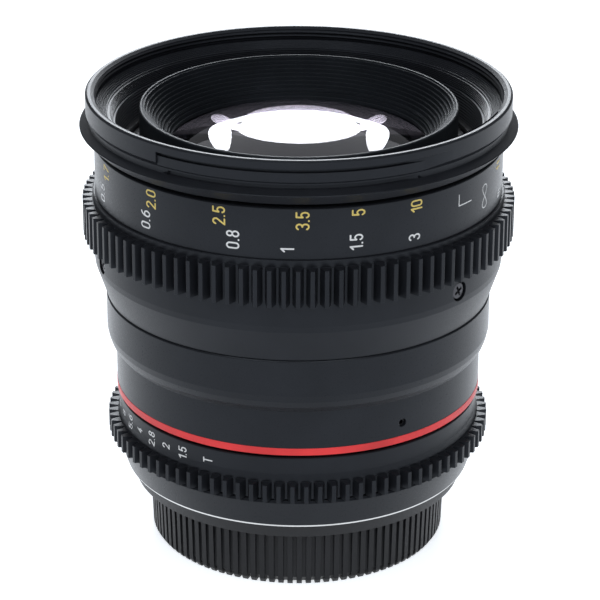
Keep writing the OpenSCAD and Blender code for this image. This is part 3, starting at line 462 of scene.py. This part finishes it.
INDEX_A = -88.5
INDEX_W = 0.4
FOCUS_INDEX_Z = scale_high.z + 2.0
FOCUS_INDEX_HALF = 0.3
STOP_INDEX_Z = span("red_ring")[1].z + 1.9
STOP_INDEX_HALF = 1.2
bm = bmesh.new()
collar_place = upward(wall("front_barrel"), INDEX_A, FOCUS_INDEX_Z)
stroke(bm, [(-FOCUS_INDEX_HALF, 0), (FOCUS_INDEX_HALF, 0)], INDEX_W, collar_place, 0)
stop_place = upward(wall("main_barrel"), INDEX_A, STOP_INDEX_Z)
stroke(bm, [(-STOP_INDEX_HALF, 0), (STOP_INDEX_HALF, 0)], INDEX_W, stop_place, 0)
piece("index_lines", bm, white_paint, "barrel")


# Screws with driven heads

def cross_recess(x, y, head):
    """How deep the cross-shaped recess of a head of this radius is at a point."""
    half = 0.15 * head
    arm = 0.62 * head
    slope = 0.09 * head
    depth = 0.3 * head
    along = min((half - abs(y)) / slope, (arm - abs(x)) / (2 * slope))
    across = min((half - abs(x)) / slope, (arm - abs(y)) / (2 * slope))
    return depth * min(1, max(0, along, across))


def hex_recess(x, y, head):
    """How deep the six-sided socket of a screw of this radius is at a point."""
    half = 0.55 * head
    slope = 0.08 * head
    depth = 0.9 * head
    flat = max(abs(x * math.cos(t) + y * math.sin(t)) for t in (0, math.pi / 3, 2 * math.pi / 3))
    return depth * min(1, max(0, (half - flat) / slope))


def screw(bm, angle, height, inner, outer, head, shank, neck, recess, turn):
    """A screw along a spoke: its head runs from radius outer in to neck, its shank from neck to inner."""
    rings = 24
    sectors = 72
    crown = 0.05 * head
    rim_start = 0.9

    def ring(off, level):
        row = []
        for k in range(sectors):
            t = math.radians(turn) + 2 * math.pi * k / sectors
            row.append(bm.verts.new(on_barrel(level(k), angle, height)
                                    + on_barrel(off * math.cos(t), angle + 90, off * math.sin(t))))
        return row

    def face(off):
        def level(k):
            t = 2 * math.pi * k / sectors
            rim = max(0, off / head - rim_start) * head
            dish = crown * (off / head) ** 2 + rim
            return outer - dish - recess(off * math.cos(t), off * math.sin(t), head)
        return level

    centre = [bm.verts.new(on_barrel(face(0)(0), angle, height))]
    rows = [centre] + [ring(head * k / rings, face(head * k / rings)) for k in range(1, rings + 1)]
    rows.append(ring(head, lambda k: neck))
    if shank < head:
        rows.append(ring(shank, lambda k: neck))
    rows.append(ring(shank, lambda k: inner))
    rows.append([bm.verts.new(on_barrel(inner, angle, height))])
    stitch(bm, rows, closed=True)


END_DEPTH = 0.05


def screw_angles(node):
    """Angles of a node's three spokes, found from the points of its outer ends."""
    far = reach(node)[1] - END_DEPTH
    seen = []
    for v in nodes[node].data.vertices:
        if Vector((v.co.x, v.co.y)).length / MM > far:
            seen.append(math.degrees(math.atan2(v.co.x, -v.co.y)) % 120)
    return [(min(seen) + max(seen)) / 2 + 120 * k for k in range(3)]


inner, outer = reach("focus_screws")
low, high = span("focus_screws")
HEAD_R = (high.z - low.z) / 2
HEAD_DEPTH = 0.68
SHANK_R = 0.5 * HEAD_R
HEAD_TURN = 25
HEAD_TURN_STEP = 50
middle = (low.z + high.z) / 2
bm = bmesh.new()
for k, angle in enumerate(screw_angles("focus_screws")):
    turn = HEAD_TURN + HEAD_TURN_STEP * k
    screw(bm, angle, middle, inner, outer, HEAD_R, SHANK_R, outer - HEAD_DEPTH, cross_recess, turn)
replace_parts(piece("cross_head_screws", bm, screw_black, "focus", 30), "focus_screws")

inner, outer = reach("set_screws")
low, high = span("set_screws")
SET_R = (high.z - low.z) / 2
SET_DEPTH = 0.5
SET_TURN = 15
SET_TURN_STEP = 40
middle = (low.z + high.z) / 2
bm = bmesh.new()
for k, angle in enumerate(screw_angles("set_screws")):
    turn = SET_TURN + SET_TURN_STEP * k
    screw(bm, angle, middle, inner, outer, SET_R, SET_R, outer - SET_DEPTH, hex_recess, turn)
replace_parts(piece("socket_set_screws", bm, screw_black, "barrel", 30), "set_screws")


# Filter thread, a ridge wound inside the front rim

THREAD_R = 38.2
THREAD_TOP = span("front_barrel")[1].z - 0.45
PITCH = 0.75
TURNS = 2.2
RIDGE = 0.3
ROOT_HALF = 0.34
CREST_HALF = 0.05
SINK = 0.03
THREAD_STEP = 3
FADE_STEPS = 12
bm = bmesh.new()
rows = []
count = int(TURNS * 360 / THREAD_STEP)
for k in range(count + 1):
    angle = k * THREAD_STEP
    z = THREAD_TOP - PITCH * (TURNS - angle / 360)
    fade = min(1, k / FADE_STEPS, (count - k) / FADE_STEPS)
    root = THREAD_R + SINK
    crest = root - (RIDGE + SINK) * fade
    profile = [(root, -ROOT_HALF), (crest, -CREST_HALF), (crest, CREST_HALF), (root, ROOT_HALF)]
    rows.append([bm.verts.new(on_barrel(r, angle, z + dz)) for r, dz in profile])
stitch(bm, rows)
piece("filter_thread_ridge", bm, front_black, "barrel", 30)


# Front glass, turned with fine steps so that its reflections stay smooth

def dome(vertex, radius, edge, steps=40):
    """Profile of a spherical face from the axis out to the edge."""
    return [(edge * k / steps, vertex - radius + math.sqrt(radius ** 2 - (edge * k / steps) ** 2))
            for k in range(steps + 1)]


def lathe(bm, profile, sectors=240):
    """Turns a profile of radius and height about the lens axis."""
    rows = []
    for r, z in profile:
        angles = [360 * k / sectors for k in range(sectors)] if r > 0 else [0]
        rows.append([bm.verts.new(on_barrel(r, a, z)) for a in angles])
    stitch(bm, rows, closed=True)


low, high = span("lens_element_1")
ELEMENT_1_FRONT = 65
ELEMENT_1_BACK = 200
edge = high.x
bm = bmesh.new()
back_sag = ELEMENT_1_BACK - math.sqrt(ELEMENT_1_BACK ** 2 - edge ** 2)
back = dome(low.z + back_sag, ELEMENT_1_BACK, edge)
lathe(bm, dome(high.z, ELEMENT_1_FRONT, edge) + back[::-1])
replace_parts(piece("front_element", bm, front_glass, "block"), "lens_element_1")

low, high = span("lens_element_2")
ELEMENT_2_FRONT = 32
bm = bmesh.new()
lathe(bm, dome(high.z, ELEMENT_2_FRONT, high.x) + [(high.x, low.z), (0, low.z)])
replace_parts(piece("second_element", bm, inner_glass, "block"), "lens_element_2")


# Floor and world

FLOOR_LOW = (0.84, 0.86, 0.89)
FLOOR_HIGH = (0.86, 0.88, 0.91)
FLOOR_GLOW = (0.94, 0.97, 1.0, 1)
SEEN_LEVEL = 0.7
MIRRORED_LEVEL = 1.0


def floor_material():
    """White sweep: seen as white by the camera and in reflections, and it still takes the shadow."""
    g = Graph("floor_white")
    g.colour(g.noise(300, detail=2.0), FLOOR_LOW, FLOOR_HIGH)
    g.set(Roughness=0.9, Specular_IOR_Level=0.0)
    path = g.new("ShaderNodeLightPath")
    seen = g.new("ShaderNodeMath")
    seen.operation = "MAXIMUM"
    g.link(path, "Is Camera Ray", seen, 0)
    g.link(path, "Is Transmission Ray", seen, 1)
    mirrored = g.new("ShaderNodeMath")
    mirrored.operation = "MULTIPLY_ADD"
    mirrored.inputs[1].default_value = MIRRORED_LEVEL
    g.link(path, "Is Glossy Ray", mirrored, 0)
    dimmed = g.new("ShaderNodeMath")
    dimmed.operation = "MULTIPLY"
    dimmed.inputs[1].default_value = SEEN_LEVEL
    g.link(seen, 0, dimmed, 0)
    g.link(dimmed, 0, mirrored, 2)
    glow = g.new("ShaderNodeEmission")
    glow.inputs["Color"].default_value = FLOOR_GLOW
    g.link(mirrored, 0, glow, "Strength")
    both = g.new("ShaderNodeAddShader")
    g.link(g.bsdf, "BSDF", both, 0)
    g.link(glow, "Emission", both, 1)
    g.link(both, "Shader", g.out, "Surface")
    return g.mat


FLOOR_HALF = 3.0
FLOOR_DROP = 0.02 * MM
bm = bmesh.new()
bmesh.ops.create_grid(bm, x_segments=4, y_segments=4, size=FLOOR_HALF)
mesh = bpy.data.meshes.new("floor")
bm.to_mesh(mesh)
bm.free()
mesh.materials.append(floor_material())
floor = bpy.data.objects.new("floor", mesh)
floor.location = (0, 0, -FLOOR_DROP)
bpy.context.scene.collection.objects.link(floor)

WORLD_LIGHT = 0.2
world = bpy.data.worlds.new("studio")
bpy.context.scene.world = world
world.use_nodes = True
tree = world.node_tree
tree.nodes.clear()
w_out = tree.nodes.new("ShaderNodeOutputWorld")
w_path = tree.nodes.new("ShaderNodeLightPath")
w_dim = tree.nodes.new("ShaderNodeBackground")
w_dim.inputs["Strength"].default_value = WORLD_LIGHT
w_dim.inputs["Color"].default_value = COOL_LIGHT + (1,)
w_white = tree.nodes.new("ShaderNodeBackground")
w_white.inputs["Color"].default_value = (1, 1, 1, 1)
w_mix = tree.nodes.new("ShaderNodeMixShader")
tree.links.new(w_path.outputs["Is Camera Ray"], w_mix.inputs["Fac"])
tree.links.new(w_dim.outputs[0], w_mix.inputs[1])
tree.links.new(w_white.outputs[0], w_mix.inputs[2])
tree.links.new(w_mix.outputs[0], w_out.inputs["Surface"])


# Soft lamps, each given by where it stands and how large it looks from the lens

LAMP_TARGET = Vector((0, 0, 0.08))
LAMP_DISTANCE = 1.2


def softbox(name, azimuth, elevation, wide, tall, radiance, shape="RECTANGLE", roll=0):
    """Azimuth is counted from the camera's side towards +X; wide and tall are angles."""
    lamp = bpy.data.lights.new(name, "AREA")
    lamp.shape = shape
    lamp.size = 2 * LAMP_DISTANCE * math.tan(math.radians(wide) / 2)
    lamp.size_y = 2 * LAMP_DISTANCE * math.tan(math.radians(tall) / 2)
    lamp.energy = radiance * math.pi * lamp.size * lamp.size_y
    lamp.color = COOL_LIGHT
    obj = bpy.data.objects.new(name, lamp)
    rise = math.radians(elevation)
    flat = on_barrel(1 / MM, azimuth, 0) * math.cos(rise)
    obj.location = LAMP_TARGET + LAMP_DISTANCE * (flat + Vector((0, 0, math.sin(rise))))
    facing = (LAMP_TARGET - obj.location).to_track_quat("-Z", "Y").to_matrix()
    obj.rotation_euler = (facing @ Matrix.Rotation(math.radians(roll), 3, "Z")).to_euler()
    obj.visible_camera = False
    bpy.context.scene.collection.objects.link(obj)


softbox("back_wall", azimuth=180, elevation=12, wide=22, tall=12, radiance=5.0)
softbox("back_disc", azimuth=180, elevation=26.5, wide=19, tall=28, radiance=7.0,
        shape="ELLIPSE")
softbox("back_left", azimuth=180 + 14, elevation=26, wide=3.6, tall=26, radiance=7.0,
        shape="ELLIPSE", roll=-15.6)
softbox("back_right", azimuth=180 - 14, elevation=26, wide=3.6, tall=26, radiance=7.0,
        shape="ELLIPSE", roll=15.6)
softbox("back_ceiling", azimuth=180, elevation=46, wide=70, tall=40, radiance=0.5)
softbox("front_fill", azimuth=0, elevation=40, wide=60, tall=30, radiance=1.8)
softbox("over_left", azimuth=-44, elevation=64, wide=20, tall=18, radiance=4.5)
softbox("over_right", azimuth=32, elevation=64, wide=20, tall=18, radiance=4.5)


# Camera

PHOTO = 600
SHIFT_X = 2.0
SHIFT_Y = 26.745
FOCAL_LENGTH = 168.43
SENSOR = 36
NEAR = 0.01
CAMERA_RISE = math.radians(23.3715)
CAMERA_ROLL = math.radians(0.24)
CAMERA_DISTANCE = 0.542409
CAMERA_TARGET = Vector((0, 0, 0.041))
camera = bpy.data.cameras.new("camera")
camera.lens = FOCAL_LENGTH
camera.sensor_width = SENSOR
camera.sensor_fit = "HORIZONTAL"
camera.shift_x = SHIFT_X / PHOTO
camera.shift_y = SHIFT_Y / PHOTO
camera.clip_start = NEAR
camera_obj = bpy.data.objects.new("camera", camera)
away = Vector((0, -math.cos(CAMERA_RISE), math.sin(CAMERA_RISE)))
camera_obj.location = CAMERA_TARGET + CAMERA_DISTANCE * away
facing = (CAMERA_TARGET - camera_obj.location).to_track_quat("-Z", "Y").to_matrix()
camera_obj.rotation_euler = (facing @ Matrix.Rotation(CAMERA_ROLL, 3, "Z")).to_euler()
bpy.context.scene.collection.objects.link(camera_obj)
bpy.context.scene.camera = camera_obj
bpy.context.scene.view_settings.view_transform = "Standard"
